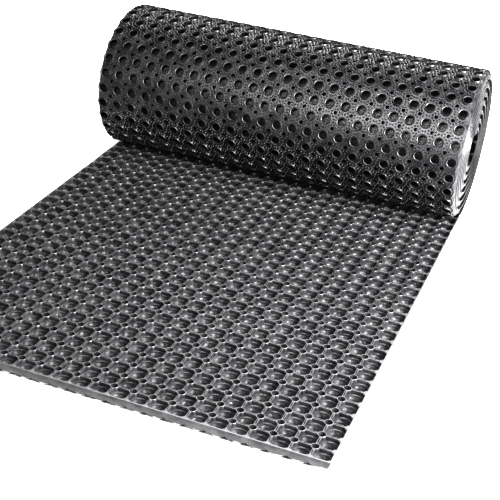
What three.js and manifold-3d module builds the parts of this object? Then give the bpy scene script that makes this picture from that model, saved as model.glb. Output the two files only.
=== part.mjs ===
// A rubber ring mat, sold by the roll: a square lattice of funnel-shaped cells, moulded in one piece.
// Its free end lies flat on the ground, and the rest is wound up into a roll that stands on it.
// Units are millimetres. X runs across the width, Y from the free end to the roll, Z up from the ground.

import * as THREE from "three";
import { ConvexGeometry } from "three/addons/geometries/ConvexGeometry.js";
import { mergeGeometries, mergeVertices } from "three/addons/utils/BufferGeometryUtils.js";
import Module from "manifold-3d";

const wasm = await Module();
wasm.setup();

// The mat
const matWidth = 1000;
const matThickness = 23;
const cellPitch = 41.6;
const cellColumns = 24;
const cellRows = 26;

// One cell: a wide octagon at the top, cut off at its corners by the rims of the drain holes,
// and a smaller round hole in the underside, drawn with six sides
const openingAcross = 35.8;
const openingCorner = 7.7;
const bottomDiameter = 21.6;
const bottomSides = 6;

// The free end is cut through a row of cells, which leaves short ones behind a narrow rim
const frontStrip = 40;
const frontRim = 4.2;

// The roll, a little wider than it is high because it sags, and its turns
const laidLength = 1175;
const rollHalfDepth = 223;
const rollHalfHeight = 210;
const rollTurns = 6.6;
const restGap = 0.3;

// The line between two turns, sunk into both ends of the roll
const seamWidth = 3;
const seamDepth = 9;

const stepsPerTurn = 32;

const rubber = new THREE.MeshStandardMaterial({ color: 0x1d1d1e, roughness: 0.62, metalness: 0 });

// Turns a closed geometry into a solid that can be cut, with its shared corners merged.
function solidFrom(geometry) {
  const bare = geometry.index ? geometry.toNonIndexed() : geometry.clone();
  bare.deleteAttribute("normal");
  bare.deleteAttribute("uv");
  const merged = mergeVertices(bare, 1e-4);
  return new wasm.Manifold(
    new wasm.Mesh({
      numProp: 3,
      vertProperties: new Float32Array(merged.attributes.position.array),
      triVerts: new Uint32Array(merged.index.array),
    }),
  );
}

function geometryFrom(solid) {
  const mesh = solid.getMesh();
  return new THREE.BufferGeometry()
    .setAttribute("position", new THREE.BufferAttribute(mesh.vertProperties, 3))
    .setIndex(new THREE.BufferAttribute(mesh.triVerts, 1));
}

function namedMesh(name, solid) {
  const mesh = new THREE.Mesh(geometryFrom(solid), rubber);
  mesh.name = name;
  return mesh;
}

// Extrudes an outline drawn in the side view (Y across, Z up) along the width, from x = low to high.
function acrossWidth(outline, low, high) {
  const shape = new THREE.Shape(outline);
  return new THREE.ExtrudeGeometry(shape, { depth: high - low, bevelEnabled: false })
    .rotateX(Math.PI / 2)
    .rotateZ(Math.PI / 2)
    .translate(low, 0, 0);
}

// A funnel through the mat: the hull of its top outline and of its bottom outline.
function funnel(top, bottom) {
  return new ConvexGeometry([
    ...top.map(([x, y]) => new THREE.Vector3(x, y, matThickness)),
    ...bottom.map(([x, y]) => new THREE.Vector3(x, y, 0)),
  ]);
}

function fullCell(x, y) {
  const half = openingAcross / 2;
  const flat = half - openingCorner;
  const bottom = Array.from({ length: bottomSides }, (_, i) => {
    const angle = (i * 2 * Math.PI) / bottomSides;
    return [x + (bottomDiameter / 2) * Math.cos(angle), y + (bottomDiameter / 2) * Math.sin(angle)];
  });
  return funnel(
    [
      [x + half, y - flat], [x + half, y + flat], [x + flat, y + half], [x - flat, y + half],
      [x - half, y + flat], [x - half, y - flat], [x - flat, y - half], [x + flat, y - half],
    ],
    bottom,
  );
}

// A short cell of the free end, between the rim in front and the bar of the first drain holes.
function shortCell(x, frontY, rearY) {
  const half = openingAcross / 2;
  const low = bottomDiameter / 2;
  const corner = openingCorner;
  const wall = (openingAcross - bottomDiameter) / 2;
  return funnel(
    [
      [x - half, frontY], [x + half, frontY], [x + half, rearY - corner],
      [x + half - corner, rearY], [x - half + corner, rearY], [x - half, rearY - corner],
    ],
    [[x - low, frontY], [x + low, frontY], [x + low, rearY - wall], [x - low, rearY - wall]],
  );
}

const columnX = Array.from({ length: cellColumns }, (_, i) => (i - (cellColumns - 1) / 2) * cellPitch);
const rowY = (row) => frontStrip + (row + 0.5) * cellPitch;

// A stretch of the laid mat from startY to endY, with the rows of cells from firstRow up to endRow.
function laidStretch(startY, endY, firstRow, endRow) {
  const side = [
    new THREE.Vector2(startY, 0), new THREE.Vector2(endY, 0),
    new THREE.Vector2(endY, matThickness), new THREE.Vector2(startY, matThickness),
  ];
  const cuts = [];
  for (const x of columnX) {
    if (firstRow === 0) {
      cuts.push(shortCell(x, frontRim, frontStrip - (cellPitch - openingAcross) / 2));
    }
    for (let row = firstRow; row < endRow; row++) cuts.push(fullCell(x, rowY(row)));
  }
  const slab = solidFrom(acrossWidth(side, -matWidth / 2, matWidth / 2));
  return slab.subtract(solidFrom(mergeGeometries(cuts)));
}

// The outer face of the wound mat, after a number of turns from the ground under the roll's axis.
// It climbs the back, comes over the top and down the front, one thickness nearer with each turn.
function woundFace(turns, inset) {
  const angle = turns * 2 * Math.PI;
  const lost = turns * matThickness + inset;
  return new THREE.Vector2(
    laidLength + (rollHalfDepth - lost) * Math.sin(angle),
    rollHalfHeight - (rollHalfHeight - lost) * Math.cos(angle),
  );
}

function woundLine(from, to, inset) {
  const count = Math.ceil((to - from) * stepsPerTurn);
  return Array.from({ length: count + 1 }, (_, i) => woundFace(from + ((to - from) * i) / count, inset));
}

// The roll is one turned solid: its outline is one turn of the outer face, closed by the step where
// the laid mat runs in, and its bore is the inner face of the last turn.
function roll() {
  const outline = woundLine(0, 1, 0);
  const last = outline.pop();
  outline.push(new THREE.Vector2(last.x, last.y + restGap));
  const bore = woundLine(rollTurns - 1, rollTurns, matThickness);
  const body = solidFrom(acrossWidth(outline, -matWidth / 2, matWidth / 2));
  const hole = solidFrom(acrossWidth(bore, -matWidth / 2 - seamDepth, matWidth / 2 + seamDepth));
  const seam = [
    ...woundLine(1, rollTurns, -seamWidth / 2),
    ...woundLine(1, rollTurns, seamWidth / 2).reverse(),
  ];
  const leftSeam = solidFrom(acrossWidth(seam, -matWidth / 2 - seamDepth, -matWidth / 2 + seamDepth));
  const rightSeam = solidFrom(acrossWidth(seam, matWidth / 2 - seamDepth, matWidth / 2 + seamDepth));
  return body.subtract(hole).subtract(leftSeam).subtract(rightSeam);
}

// The laid mat comes in three stretches that meet at the middle of a bar between two rows.
const barY = (row) => frontStrip + row * cellPitch;
const firstJoin = 9;
const secondJoin = 18;

const mat = new THREE.Group();
mat.add(namedMesh("mat_laid_front", laidStretch(0, barY(firstJoin), 0, firstJoin)));
mat.add(namedMesh("mat_laid_middle", laidStretch(barY(firstJoin), barY(secondJoin), firstJoin, secondJoin)));
mat.add(namedMesh("mat_laid_rear", laidStretch(barY(secondJoin), laidLength, secondJoin, cellRows)));
mat.add(namedMesh("mat_roll", roll()));

// The part's origin is on the ground, below the middle of its box.
const box = new THREE.Box3().setFromObject(mat);
mat.position.y = -(box.min.y + box.max.y) / 2;

const part = new THREE.Group();
part.add(mat);

export default part;
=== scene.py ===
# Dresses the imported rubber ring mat: the laid cells, the wound turns, and moulded black rubber.
import bpy
import numpy as np
from mathutils import Matrix, Vector


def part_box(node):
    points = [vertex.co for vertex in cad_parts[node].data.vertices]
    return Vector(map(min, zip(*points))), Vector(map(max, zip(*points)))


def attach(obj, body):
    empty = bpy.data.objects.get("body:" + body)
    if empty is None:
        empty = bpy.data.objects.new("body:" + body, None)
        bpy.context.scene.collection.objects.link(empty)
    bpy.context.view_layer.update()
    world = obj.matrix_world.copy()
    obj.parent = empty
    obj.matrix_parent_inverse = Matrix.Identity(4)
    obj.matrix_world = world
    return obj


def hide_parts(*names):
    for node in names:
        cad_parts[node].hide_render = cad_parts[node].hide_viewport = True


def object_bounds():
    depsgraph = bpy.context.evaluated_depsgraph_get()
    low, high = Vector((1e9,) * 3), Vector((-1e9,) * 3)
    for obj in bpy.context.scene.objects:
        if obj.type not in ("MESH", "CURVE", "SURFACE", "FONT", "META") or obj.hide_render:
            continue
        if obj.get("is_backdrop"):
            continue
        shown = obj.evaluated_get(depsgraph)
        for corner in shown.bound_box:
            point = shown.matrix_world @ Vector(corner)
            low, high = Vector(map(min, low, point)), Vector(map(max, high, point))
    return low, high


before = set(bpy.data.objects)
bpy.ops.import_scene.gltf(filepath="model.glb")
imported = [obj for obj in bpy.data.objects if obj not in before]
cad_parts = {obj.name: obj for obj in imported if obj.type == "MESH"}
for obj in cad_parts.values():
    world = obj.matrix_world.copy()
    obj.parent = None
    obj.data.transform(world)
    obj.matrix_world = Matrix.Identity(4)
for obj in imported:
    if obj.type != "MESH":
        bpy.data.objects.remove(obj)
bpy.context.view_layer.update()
print("frame loaded:", len(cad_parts), "solids")

# Camera: a long lens, well back from the free end and to the right of the mat
view = {
    "place": (0.848, -2.2603, 1.321),  # metres
    "forward": (-0.28503, 0.83060, -0.47839),
    "up": (-0.23483, 0.42337, 0.87499),
    "lens": 80.2,  # mm, on a 36 mm sensor
    "sensor": 36.0,
}


def makeCamera():
    data = bpy.data.cameras.new("camera")
    data.lens = view["lens"]
    data.sensor_width = view["sensor"]
    camera = bpy.data.objects.new("camera", data)
    forward = Vector(view["forward"]).normalized()
    right = forward.cross(Vector(view["up"])).normalized()
    up = right.cross(forward)
    turn = Matrix((right, up, -forward)).transposed()
    camera.matrix_world = Matrix.Translation(view["place"]) @ turn.to_4x4()
    bpy.context.collection.objects.link(camera)
    bpy.context.scene.camera = camera


makeCamera()
print("camera made")

# Where the mat lies, taken from the frame
frontLow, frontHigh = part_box("mat_laid_front")
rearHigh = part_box("mat_laid_rear")[1]
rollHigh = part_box("mat_roll")[1]
thickness = frontHigh.z - frontLow.z
halfWidth = (frontHigh.x - frontLow.x) / 2
frontY = frontLow.y
axisY = rearHigh.y  # the roll's axis stands over the end of the laid stretch
laidLength = axisY - frontY
halfDepth = rollHigh.y - axisY + thickness / 4  # of the roll, where the laid mat runs in
halfHeight = (rollHigh.z + thickness / 2) / 2

# The mat as a whole, in metres unless it says otherwise
mat = {
    "pitch": 0.0416,  # from one cell to the next, both ways
    "columns": 24,
    "frontStrip": 0.040,  # from the cut edge to the first row of drain holes
    "turns": 6.6,
    "lift": 0.006,  # the free end still curls up a little
    "liftRun": 0.11,
    "joins": (9, 18),  # rows at which the laid solids meet
    "rowSlip": ((0, 0), (10, 0.96), (33, -0.19)),  # pitches wound, and how far the rows lie further on
    "sharpAngle": 40,  # degrees, past which an edge isn't shaded smooth
    "finestStep": 1e-5,  # pitches, points nearer than this are one
}
pitch = mat["pitch"]
columns = mat["columns"]
depth = thickness / pitch  # in pitches, as all sizes of a cell are

# One cell: distances in pitches from the opening's axis, the middle of a bar or a drain hole's axis
cell = {
    "corners": 24,  # points in each loop, six for each quarter
    "drainTop": 0.185,
    "drainBottom": 0.12,
    "rim": 0.23,  # outside of the rim round a drain hole
    "bar": 0.07,  # half the width of a bar
    "groove": 0.085,  # depth of the fine line along each bar
    "drainEnd": 0.3,  # how far down a drain hole starts inside the roll
    "plate": 0.125,  # height of the plate that the pips stand on
    "ring": 0.335,  # outside of the raised ring round the bottom hole
    "scallop": (0.16, 0.42),  # shares by which the underside draws in at the mat's side
    "cutKeep": 0.2,  # the cut front row keeps its shape past this, and is pressed together before it
}

# A cell's loops round the bars and drain holes, from the groove to the top of the opening's wall:
# distance from the middle of the bar, distance from the drain hole's axis, how far down at the bar
# and at the hole, and the radius at a corner that has no hole
barLoops = [
    (0.0, cell["drainTop"], cell["groove"], 0.003, None),
    (0.036, 0.197, 0.0, 0.0, 0.09),
    (0.055, 0.215, 0.0, 0.0, 0.16),
    (cell["bar"], cell["rim"], 0.02, 0.02, cell["rim"]),
    (0.076, 0.238, 0.20, 0.20, 0.238),
]

# The circles below them: radius, and how far down
funnelLoops = [
    (0.405, 0.215),
    (0.365, 0.235),
    (0.352, 0.325),  # upper edge of the shelf
    (0.275, 0.40),  # its lower edge
    (0.25, depth - 0.03),  # throat of the bottom hole
    (0.29, depth - 0.006),  # face of the raised ring
    (cell["ring"], depth - cell["plate"]),
]

# The bands along the mat's edges: how far they stand past the last cell, how deep they go, and
# the share of that depth which is notched away between two cells
sideRim = (halfWidth / pitch - columns / 2, 0.08, 0)
cutRim = (0.05, 0.38, 0.5)
cutRowEnd = mat["frontStrip"] / pitch - 0.5 - cutRim[0]
band = {
    "rimDown": 0.002,  # the outermost rim lies this far below the bars
    "edge": (0.012, 0.02),  # its upper edge, as in and down
    "inset": 0.055,  # how far the wall lies behind the band
    "step": 0.02,  # from the band's lower edge down to that wall
    "wall": 0.14,  # and down to the wall's foot
    "along": (-0.5, -0.375, -0.25, 0.0, 0.25, 0.375, 0.5),  # points that a cell has on a plain side
}

# The pips: 8 round each drain hole and 2 between two rings, in pitches
pip = {
    "round": 0.245,  # from the drain hole's axis
    "between": 0.085,  # either side of the middle
    "foot": 0.056,
    "top": 0.040,
    "crown": 0.032,  # height of the shallow cone on top
    "sides": 5,
    "laidSides": 4,  # below the laid mat, where they hardly show
    "outermost": 0.36,  # none stands further out than this at the mat's side
}
quarterTurns = [np.array([[c, s], [-s, c]]) for c, s in ((1, 0), (0, 1), (-1, 0), (0, -1))]


# A loop round the opening, d from the middle of each bar and r from each drain hole's axis:
# per quarter the middle of the bar, then five points on the arc round the corner,
# x = 0.5 - r sin(a), y = 0.5 - r cos(a), with a from asin(d / r) up to its complement.
# At a corner without a drain hole r is the plain radius instead, or the loop runs into the
# square corner where there is none.
def latticeLoop(d, r, barDown, arcDown, holes, plainRadius=None):
    points = []
    for quarter in range(4):
        radius = r if holes[quarter] else plainRadius
        if radius:
            start = np.arcsin(d / radius)
            a = np.linspace(start, np.pi / 2 - start, 5)
            arc = np.stack([0.5 - radius * np.sin(a), 0.5 - radius * np.cos(a)], 1)
        else:
            far = 0.5 - d
            arc = np.array([[far, 0.25], [far, 0.375], [far, far], [0.375, far], [0.25, far]])
        plan = np.vstack([[0.5 - d, 0.0], arc]) @ quarterTurns[quarter]
        points.append(np.column_stack([plan, depth - np.array([barDown] + [arcDown] * 5)]))
    return np.vstack(points)


# A level circle: x = r cos(a), y = r sin(a), in 24 steps.
def circleLoop(r, down):
    a = np.arange(cell["corners"]) * 2 * np.pi / cell["corners"]
    return np.column_stack([r * np.cos(a), r * np.sin(a), np.full(len(a), depth - down)])


# The faces between two loops of n points that start at first and second.
def stripFaces(first, second, i, j):
    return np.column_stack([first + i, first + j, second + j, second + i])


# The underside draws in at the mat's side: x shrinks by k x / 0.5 of itself, where k grows
# from its least beside a ring to its most between two rings, with sin(pi y)^2.
def drawIn(points, sides):
    least, most = cell["scallop"]
    out = points.copy()
    for side in sides:
        before = points[:, :2] @ quarterTurns[side].T
        share = least + (most - least) * np.sin(np.pi * before[:, 1]) ** 2
        plan = out[:, :2] @ quarterTurns[side].T
        plan[:, 0] -= np.where(before[:, 0] > 0, share * before[:, 0] ** 2 / 0.5, 0)
        out[:, :2] = plan @ quarterTurns[side]
    return out


# The loops of a cell from the top of its bars down the funnel and out along the underside. Inside
# the roll's outer turn only the lower ones show, and at the ends of its turns fewer do.
def cellLoops(kind, holes, sides):
    top = [latticeLoop(*loop[:4], holes, loop[4]) for loop in barLoops]
    for side in sides:  # no groove along the outermost rim
        plan = top[0][:, :2] @ quarterTurns[side].T
        top[0][plan[:, 0] > 0.499, 2] = depth - band["rimDown"]
    funnel = [circleLoop(*loop) for loop in funnelLoops]
    plateDown = depth - cell["plate"]
    under = drawIn(latticeLoop(0.0, cell["drainBottom"], plateDown, plateDown, holes), sides)
    if kind == "laid":
        return top + funnel + [under]
    if kind == "end":
        return [top[0], top[2], top[4], funnel[2], funnel[4], funnel[5], funnel[6], under]
    return [funnel[1], funnel[2], funnel[3], funnel[4], funnel[5], funnel[6], under]


# The side of the mat as a strip: seven points along the cell's side, carried down the profile
# (out, down) from the rim over the band and the wall behind it to the edge of the plate. The rims
# give reach and depth of the band on each outer side, so that two strips meet at the mat's corner.
def sideStrip(side, rims):
    reach, bandDepth, notch = rims[side]
    ends = [(0, -1, (side - 1) % 4), (-1, 1, (side + 1) % 4)]
    ends = [(end, sign, rims[other]) for end, sign, other in ends if other in rims]
    along = np.array(band["along"])
    n = len(along)
    edgeIn, edgeDown = band["edge"]
    low = bandDepth * (1 - notch * (2 * np.abs(along)) ** 4)
    step, foot = band["step"], band["wall"]
    profile = [(None, band["rimDown"]), (edgeIn, band["rimDown"]), (0, edgeDown), (0, low)]
    profile += [(band["inset"], low + step), (band["inset"], low + foot)]
    rows = []
    for back, down in profile:
        row = np.column_stack([np.full(n, 0.5), along, np.full(n, depth) - down])
        if back is not None:
            row[:, 0] += reach - back
            for end, sign, (otherReach, _, _) in ends:
                row[end, 1] += sign * (otherReach - back)
        rows.append(row)
    for end, _, (_, otherBand, otherNotch) in ends:  # the deeper of the two bands goes round the corner
        otherBand *= 1 - otherNotch
        for row, extra in zip(rows[3:], (0, step, foot)):
            row[end, 2] = min(row[end, 2], depth - otherBand - extra)
    under = np.column_stack([np.full(n, 0.5), along, np.full(n, cell["plate"])])
    under = drawIn(under, [0] + [3 if sign < 0 else 1 for _, sign, _ in ends])
    points = np.vstack(rows + [under])
    points[:, 2] = np.maximum(points[:, 2], cell["plate"])
    points[:, :2] = points[:, :2] @ quarterTurns[side]
    i = np.arange(n - 1)
    faces = [stripFaces(n * (k + 1), n * k, i, i + 1) for k in range(len(rows))]
    return points, np.vstack(faces)


# A pip: a steep cone with a few sides, its foot on the plate, and a shallow cone as its top.
def pipMesh(sides):
    a = np.arange(sides) * 2 * np.pi / sides
    shoulder = np.full(sides, pip["crown"])
    foot = np.column_stack([pip["foot"] * np.cos(a), pip["foot"] * np.sin(a), np.full(sides, cell["plate"])])
    top = np.column_stack([pip["top"] * np.cos(a), pip["top"] * np.sin(a), shoulder])
    points = np.vstack([foot, top, [[0, 0, 0]]])
    i = np.arange(sides)
    j = (i + 1) % sides
    walls = stripFaces(sides, 0, i, j)
    cap = np.column_stack([sides + j, sides + i, np.full(sides, 2 * sides), np.full(sides, 2 * sides)])
    return points, np.vstack([walls, cap])


# Where the pips of a cell stand: at the round's radius from each drain hole, 22.5 degrees to either
# side of the diagonal's quarter, so x = 0.5 - r cos(a), y = 0.5 - r sin(a) with a = 22.5 and 67.5.
def pipPlaces(sides):
    near = pip["round"] * np.array([np.cos(np.pi / 8), np.sin(np.pi / 8)])
    places = []
    for quarter in range(4):
        spots = [[0.5 - near[0], 0.5 - near[1]], [0.5 - near[1], 0.5 - near[0]]]
        if quarter < 2:  # the pair between two rings, which two cells share
            spots += [[0.5, pip["between"]], [0.5, -pip["between"]]]
        places.append(np.array(spots) @ quarterTurns[quarter])
    places = np.vstack(places)
    for side in sides:  # none beyond the drawn-in edge of the plate
        plan = places @ quarterTurns[side].T
        places = places[plan[:, 0] < pip["outermost"]]
    return places


# The whole cell as points and four-cornered faces. The rims say which of its four sides lie on the
# mat's edge and how far they stand out. A corner between two inner sides has a drain hole, whose
# wall runs from the underside's loop up to the top loop, or inside the roll to a loop at mid depth.
def cellMesh(kind, rims, pipSides):
    holes = [quarter not in rims and (quarter + 1) % 4 not in rims for quarter in range(4)]
    loops = cellLoops(kind, holes, rims)
    n = cell["corners"]
    i = np.arange(n)
    j = (i + 1) % n
    faces = [stripFaces(n * k, n * (k + 1), i, j) for k in range(len(loops) - 1)]
    top = 0
    if kind == "outside":
        top = n * len(loops)
        radius = (cell["drainTop"] + cell["drainBottom"]) / 2
        loops.append(latticeLoop(0.0, radius, cell["drainEnd"], cell["drainEnd"], holes))
    under = n * len(faces)
    for quarter in np.flatnonzero(holes):
        arc = n // 4 * quarter + np.arange(1, n // 4 - 1)
        faces.append(stripFaces(under, top, arc, arc + 1))
    points = [np.vstack(loops)]
    count = len(points[0])
    for side in rims:
        strip, stripQuads = sideStrip(side, rims)
        points.append(strip)
        faces.append(stripQuads + count)
        count += len(strip)
    one, oneQuads = pipMesh(pipSides)
    for x, y in pipPlaces(rims):
        points.append(one + [x, y, 0])
        faces.append(oneQuads + count)
        count += len(one)
    return np.vstack(points), np.vstack(faces)


# Copies of a cell at every column and row, both given as the cell's middle in pitches.
def tile(mesh, columnPlaces, rowPlaces, warp=None):
    points, faces = mesh
    if warp:
        points = warp(points)
    x, y = np.meshgrid(columnPlaces, rowPlaces)
    offset = np.column_stack([x.ravel(), y.ravel(), np.zeros(x.size)])
    allPoints = (offset[:, None, :] + points[None]).reshape(-1, 3)
    allFaces = (faces[None] + (np.arange(len(offset)) * len(points))[:, None, None]).reshape(-1, 4)
    return allPoints, allFaces


# The path of the mat's middle: along the ground, then a spiral on an ellipse. After u turns the
# face at height h is at y = (a - u t - h) sin(2 pi u), z = b - (b - u t - h) cos(2 pi u).
def woundFace(u, h):
    lost = u * thickness + h
    y = axisY + (halfDepth - lost) * np.sin(2 * np.pi * u)
    z = halfHeight - (halfHeight - lost) * np.cos(2 * np.pi * u)
    return y, z


pathU = np.linspace(0, mat["turns"] + 0.2, 6000)  # a little past the last row
pathY, pathZ = woundFace(pathU, thickness / 2)
pathS = np.concatenate([[0], np.cumsum(np.hypot(np.diff(pathY), np.diff(pathZ)))])


# Places points given across, along and through the mat (in pitches) on the ground or on the roll.
def place(points):
    x = points[:, 0] * pitch
    s = points[:, 1] * pitch + mat["frontStrip"]
    h = points[:, 2] * pitch
    slipAt, slip = np.transpose(mat["rowSlip"])
    s = s + pitch * np.interp((s - laidLength) / pitch, slipAt, slip)
    rise = mat["lift"] * np.clip(1 - s / mat["liftRun"], 0, 1) ** 2
    wound = s > laidLength
    u = np.interp(s - laidLength, pathS, pathU)
    woundY, woundZ = woundFace(u, h)
    y = np.where(wound, woundY, frontY + s)
    z = np.where(wound, woundZ, h + rise)
    return np.column_stack([x, y, z])


# Joins the parts, merges their shared points, carries them to their place and hangs the piece on
# the frame in the stead of its nodes.
def makePiece(name, parts, nodes, material):
    counts = np.cumsum([0] + [len(p) for p, _ in parts])
    points = np.vstack([p for p, _ in parts])
    faces = np.vstack([f + c for (_, f), c in zip(parts, counts)])
    keys = np.round(points / mat["finestStep"]).astype(np.int64)
    _, first, back = np.unique(keys, axis=0, return_index=True, return_inverse=True)
    points = place(points[first])
    faces = back.reshape(-1)[faces]
    triangles = np.vstack([faces[:, [0, 1, 2]], faces[:, [0, 2, 3]]])
    a, b, c = triangles.T
    triangles = triangles[(a != b) & (b != c) & (c != a)]
    mesh = bpy.data.meshes.new(name)
    mesh.vertices.add(len(points))
    mesh.vertices.foreach_set("co", points.astype(np.float32).ravel())
    mesh.loops.add(triangles.size)
    mesh.loops.foreach_set("vertex_index", triangles.astype(np.int32).ravel())
    mesh.polygons.add(len(triangles))
    mesh.polygons.foreach_set("loop_start", np.arange(len(triangles), dtype=np.int32) * 3)
    mesh.update(calc_edges=True)
    mesh.polygons.foreach_set("use_smooth", np.ones(len(triangles), dtype=bool))
    mesh.set_sharp_from_angle(angle=np.radians(mat["sharpAngle"]))
    mesh.materials.append(material)
    piece = bpy.data.objects.new(name, mesh)
    bpy.context.collection.objects.link(piece)
    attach(piece, "root")
    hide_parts(*nodes)
    print(name, len(triangles), "triangles")


# Black moulded rubber
rubber = {
    "dark": (0.008, 0.008, 0.009, 1),
    "light": (0.028, 0.028, 0.029, 1),
    "roughness": (0.37, 0.5),
    "wave": 0.005,  # metres between the soft waves of the moulded skin
    "waveHeight": 0.0010,
    "grain": 0.0007,  # metres between its fine bumps
    "grainHeight": 0.00006,
    "ior": 1.52,
    "cloudScale": 38,
    "cloudDetail": 5,
    "cloudRange": (0.35, 0.7),  # noise values at which the dark and the light tint are reached
    "barSheen": (0.049, 0.049, 0.05, 1),  # painted sheen: a lighter tint on the bars' tops, for the light they catch
    "barSheenDepth": 0.0009,  # metres
    "barSheenEnd": (0.0004, 0.0008),  # how far above the bars it fades out, for the roll has none
    "barSheenFade": 0.03,  # and how far before the roll's axis
}


# A value mapped from the first range to the second, held at its ends.
def ramp(nodes, links, value, low, high, first, last):
    node = nodes.new("ShaderNodeMapRange")
    for name, number in zip(("From Min", "From Max", "To Min", "To Max"), (low, high, first, last)):
        node.inputs[name].default_value = number
    links.new(value, node.inputs["Value"])
    return node.outputs["Result"]


# Two values put together by a Math node.
def combine(nodes, links, operation, first, second):
    node = nodes.new("ShaderNodeMath")
    node.operation = operation
    links.new(first, node.inputs[0])
    links.new(second, node.inputs[1])
    return node.outputs["Value"]


# The share of painted sheen, the lighter tint that stands for light caught by the bars' tops: 1 at the top
# of the laid bars, 0 a little below it and on the roll.
# The height is z less the lift of the free end, lift * (1 - s / run)^2.
def paintedSheenShare(nodes, links, spot):
    split = nodes.new("ShaderNodeSeparateXYZ")
    links.new(spot, split.inputs["Vector"])
    root = mat["lift"] ** 0.5
    y = split.outputs["Y"]
    rise = ramp(nodes, links, y, frontY, frontY + mat["liftRun"], root, 0)
    rise = combine(nodes, links, "MULTIPLY", rise, rise)
    height = combine(nodes, links, "SUBTRACT", split.outputs["Z"], rise)
    near = ramp(nodes, links, height, thickness - rubber["barSheenDepth"], thickness, 0, 1)
    start, end = rubber["barSheenEnd"]
    below = ramp(nodes, links, height, thickness + start, thickness + end, 1, 0)
    before = ramp(nodes, links, y, axisY - rubber["barSheenFade"], axisY, 1, 0)
    share = combine(nodes, links, "MULTIPLY", near, below)
    return combine(nodes, links, "MULTIPLY", share, before)


# Two tints and two roughnesses in soft clouds, a painted sheen on the bars' tops, and waves and grain as
# bump.
def makeRubber():
    material = bpy.data.materials.new("mouldedRubber")
    material.use_nodes = True
    nodes, links = material.node_tree.nodes, material.node_tree.links
    shader = nodes["Principled BSDF"]
    shader.inputs["Metallic"].default_value = 0
    shader.inputs["IOR"].default_value = rubber["ior"]
    spot = nodes.new("ShaderNodeTexCoord")
    cloud = nodes.new("ShaderNodeTexNoise")
    cloud.inputs["Scale"].default_value = rubber["cloudScale"]
    cloud.inputs["Detail"].default_value = rubber["cloudDetail"]
    links.new(spot.outputs["Object"], cloud.inputs["Vector"])
    tint = nodes.new("ShaderNodeValToRGB")
    for stop, position, color in zip(tint.color_ramp.elements, rubber["cloudRange"], ("dark", "light")):
        stop.position = position
        stop.color = rubber[color]
    links.new(cloud.outputs["Fac"], tint.inputs["Fac"])
    # painted sheen: the bars' tops are mixed towards a lighter tint, for the light they catch
    sheenMix = nodes.new("ShaderNodeMix")
    sheenMix.data_type = "RGBA"
    factor, plain, paintedSheen = sheenMix.inputs[0], sheenMix.inputs[6], sheenMix.inputs[7]  # its sockets for a colour
    paintedSheen.default_value = rubber["barSheen"]
    links.new(paintedSheenShare(nodes, links, spot.outputs["Object"]), factor)
    links.new(tint.outputs["Color"], plain)
    links.new(sheenMix.outputs[2], shader.inputs["Base Color"])
    gloss = nodes.new("ShaderNodeMapRange")
    gloss.inputs["To Min"].default_value = rubber["roughness"][0]
    gloss.inputs["To Max"].default_value = rubber["roughness"][1]
    links.new(cloud.outputs["Fac"], gloss.inputs["Value"])
    links.new(gloss.outputs["Result"], shader.inputs["Roughness"])
    grain = nodes.new("ShaderNodeTexNoise")
    grain.inputs["Scale"].default_value = 1 / rubber["grain"]
    links.new(spot.outputs["Object"], grain.inputs["Vector"])
    waves = nodes.new("ShaderNodeTexNoise")
    waves.inputs["Scale"].default_value = 1 / rubber["wave"]
    links.new(spot.outputs["Object"], waves.inputs["Vector"])
    swell = nodes.new("ShaderNodeBump")
    swell.inputs["Distance"].default_value = rubber["waveHeight"]
    links.new(waves.outputs["Fac"], swell.inputs["Height"])
    bump = nodes.new("ShaderNodeBump")
    bump.inputs["Distance"].default_value = rubber["grainHeight"]
    links.new(grain.outputs["Fac"], bump.inputs["Height"])
    links.new(swell.outputs["Normal"], bump.inputs["Normal"])
    links.new(bump.outputs["Normal"], shader.inputs["Normal"])
    return material


skin = makeRubber()
print("rubber made")

middle = (columns - 1) / 2
inner = np.arange(1, columns - 1) - middle  # all columns but the two at the sides
rightColumn, leftColumn = [middle], [-middle]


# Full rows across the mat: the inner columns, and one at each side with its rim.
def rowParts(kind, rows, pipSides):
    return [
        tile(cellMesh(kind, {}, pipSides), inner, rows),
        tile(cellMesh(kind, {0: sideRim}, pipSides), rightColumn, rows),
        tile(cellMesh(kind, {2: sideRim}, pipSides), leftColumn, rows),
    ]


# The short row at the free end: a full cell whose front part is pressed together along the mat, so
# that y below the kept part runs linearly from the kept part's edge to the row's own end.
def shorten(points):
    keep = cell["cutKeep"]
    out = points.copy()
    y = out[:, 1]
    pressed = keep - (keep - y) * (keep + cutRowEnd) / (keep + 0.5)
    beyond = y + 0.5 - cutRowEnd
    out[:, 1] = np.where(y > keep, y, np.where(y < -0.5, beyond, pressed))
    return out


def frontRowParts():
    front, row, sides = {3: cutRim}, [-0.5], pip["laidSides"]
    return [
        tile(cellMesh("laid", front, sides), inner, row, shorten),
        tile(cellMesh("laid", {**front, 0: sideRim}, sides), rightColumn, row, shorten),
        tile(cellMesh("laid", {2: sideRim, **front}, sides), leftColumn, row, shorten),
    ]


lastLaidRow = int((laidLength - mat["frontStrip"]) / pitch)
splits = [0, *mat["joins"], lastLaidRow]
laidNodes = ["mat_laid_front", "mat_laid_middle", "mat_laid_rear"]
for name, node, low, high in zip(["laidFront", "laidMiddle", "laidRear"], laidNodes, splits, splits[1:]):
    parts = rowParts("laid", np.arange(low, high) + 0.5, pip["laidSides"])
    if low == 0:
        parts += frontRowParts()
    makePiece(name, parts, [node], skin)


# The last row that lies before a number of turns, counted from the free end
def rowAt(turns):
    wound = np.interp(turns, pathU, pathS)
    return int(round((laidLength + wound - mat["frontStrip"]) / pitch))


# The two ends of the wound rows, which are all that shows of the inner turns.
def endParts(rows):
    return [
        tile(cellMesh("end", {0: sideRim}, pip["sides"]), rightColumn, rows),
        tile(cellMesh("end", {2: sideRim}, pip["sides"]), leftColumn, rows),
    ]


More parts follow.
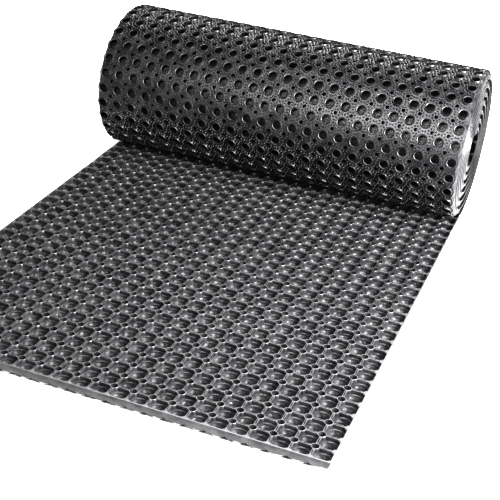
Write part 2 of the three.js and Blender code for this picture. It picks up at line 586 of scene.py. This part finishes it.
outerEnd, lastRow = rowAt(1), rowAt(mat["turns"])
thirds = np.linspace(lastLaidRow, outerEnd, 4).astype(int)
for name, low, high in zip(["rollBack", "rollTop", "rollFront"], thirds, thirds[1:]):
    rows = np.arange(low, high) + 0.5
    parts = [tile(cellMesh("outside", {}, pip["sides"]), inner, rows)] + endParts(rows)
    makePiece(name, parts, ["mat_roll"], skin)

makePiece("rollTurnEnds", endParts(np.arange(outerEnd, lastRow) + 0.5), ["mat_roll"], skin)


# A band inside the roll, carried across the width between two spiral faces. Each is given as its
# turns and its height in the mat, and the step where a spiral ends is a pair of points at one angle.
def makeWoundBand(name, outside, inside, reach):
    rows = []
    for (turns, height), x in ((outside, -reach), (outside, reach), (inside, reach), (inside, -reach)):
        y, z = woundFace(turns, height)
        rows.append(np.column_stack([np.full(len(turns), x), y, z]))
    n = len(rows[0])
    i = np.arange(n)
    j = (i + 1) % n
    faces = np.vstack([stripFaces(n * ((k + 1) % 4), n * k, i, j) for k in range(4)])
    mesh = bpy.data.meshes.new(name)
    mesh.from_pydata(np.vstack(rows).tolist(), [], faces.tolist())
    mesh.update()
    mesh.materials.append(skin)
    piece = bpy.data.objects.new(name, mesh)
    bpy.context.collection.objects.link(piece)
    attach(piece, "root")
    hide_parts("mat_roll")


# The wound middle lies between the second turn's plate and the bore, where the mat's inner end
# makes the step. The lining closes the outer turn's cells towards the turn below them.
core = {
    "steps": (60, 40),  # round the roll, before and after the mat's inner end
    "middleShort": 1.0,  # pitches from the end of the wound middle to the mat's side
    "liningShort": 0.03,  # and from the lining's end
    "lining": (0.0002, 0.001),  # metres outside and inside the outer turn's inner face
}
whole, rest = int(mat["turns"]), mat["turns"] % 1
before, after = core["steps"]
phi = np.concatenate([np.linspace(0, rest, before), np.linspace(rest, 1, after)])
boreTurns = np.where(np.arange(len(phi)) < before, whole + phi, whole - 1 + phi)
middleReach = (columns / 2 - core["middleShort"]) * pitch
makeWoundBand("rollMiddle", (1 + phi, cell["plate"] * pitch), (boreTurns, thickness), middleReach)
liningReach = (columns / 2 - core["liningShort"]) * pitch
outward, inward = core["lining"]
makeWoundBand("rollLining", (phi, thickness - outward), (phi, thickness + inward), liningReach)
print("mat made")

# Light: a white studio with a softbox low at the right, one in front that shows on the roll, a
# large one behind and a small one overhead
studio = {
    "world": 0.012,
    "gamma": 0.56,
    "floor": (0.8, 0.8, 0.8, 1),
    "floorHalf": 15.0,  # metres
    "floorRoughness": 0.9,
    "floorDrop": 0.0005,  # the floor lies this far below the mat
    "softboxes": [  # place, aim, size in metres, watts
        ((1.8, -0.75, 1.0), (0.05, -0.1, 0.1), (1.6, 0.9), 450),
        ((0.0, -1.8, 1.65), (0.3, 0.3, 0.25), (0.8, 0.6), 140),
        ((0.0, 3.6, 2.6), (0, 0, 0.1), (4, 2), 380),
        ((0.2, -0.5, 2.9), (0.1, 0.1, 0.2), (0.7, 0.5), 110),
    ],
}


def makeSoftbox(name, at, aim, size, watts):
    data = bpy.data.lights.new(name, "AREA")
    data.shape = "RECTANGLE"
    data.size, data.size_y = size
    data.energy = watts
    lamp = bpy.data.objects.new(name, data)
    lamp.location = at
    lamp.rotation_mode = "QUATERNION"
    lamp.rotation_quaternion = (Vector(aim) - Vector(at)).to_track_quat("-Z", "Y")
    bpy.context.collection.objects.link(lamp)


def makeFloor():
    half = studio["floorHalf"]
    corners = [(-half, -half, 0), (half, -half, 0), (half, half, 0), (-half, half, 0)]
    mesh = bpy.data.meshes.new("floor")
    mesh.from_pydata(corners, [], [(0, 1, 2, 3)])
    paper = bpy.data.materials.new("paleFloor")
    paper.use_nodes = True
    shader = paper.node_tree.nodes["Principled BSDF"]
    shader.inputs["Base Color"].default_value = studio["floor"]
    shader.inputs["Roughness"].default_value = studio["floorRoughness"]
    mesh.materials.append(paper)
    floor = bpy.data.objects.new("floor", mesh)
    floor.location.z = -studio["floorDrop"]
    bpy.context.collection.objects.link(floor)
    floor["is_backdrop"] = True


def makeStudio():
    world = bpy.data.worlds.new("studio")
    world.use_nodes = True
    sky = world.node_tree.nodes["Background"]
    sky.inputs["Color"].default_value = (1, 1, 1, 1)
    sky.inputs["Strength"].default_value = studio["world"]
    bpy.context.scene.world = world
    bpy.context.scene.view_settings.view_transform = "Standard"
    bpy.context.scene.view_settings.gamma = studio["gamma"]  # for the photo's strong contrast
    for k, softbox in enumerate(studio["softboxes"]):
        makeSoftbox(f"softbox{k}", *softbox)
    makeFloor()


makeStudio()
print("studio made")

low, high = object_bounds()
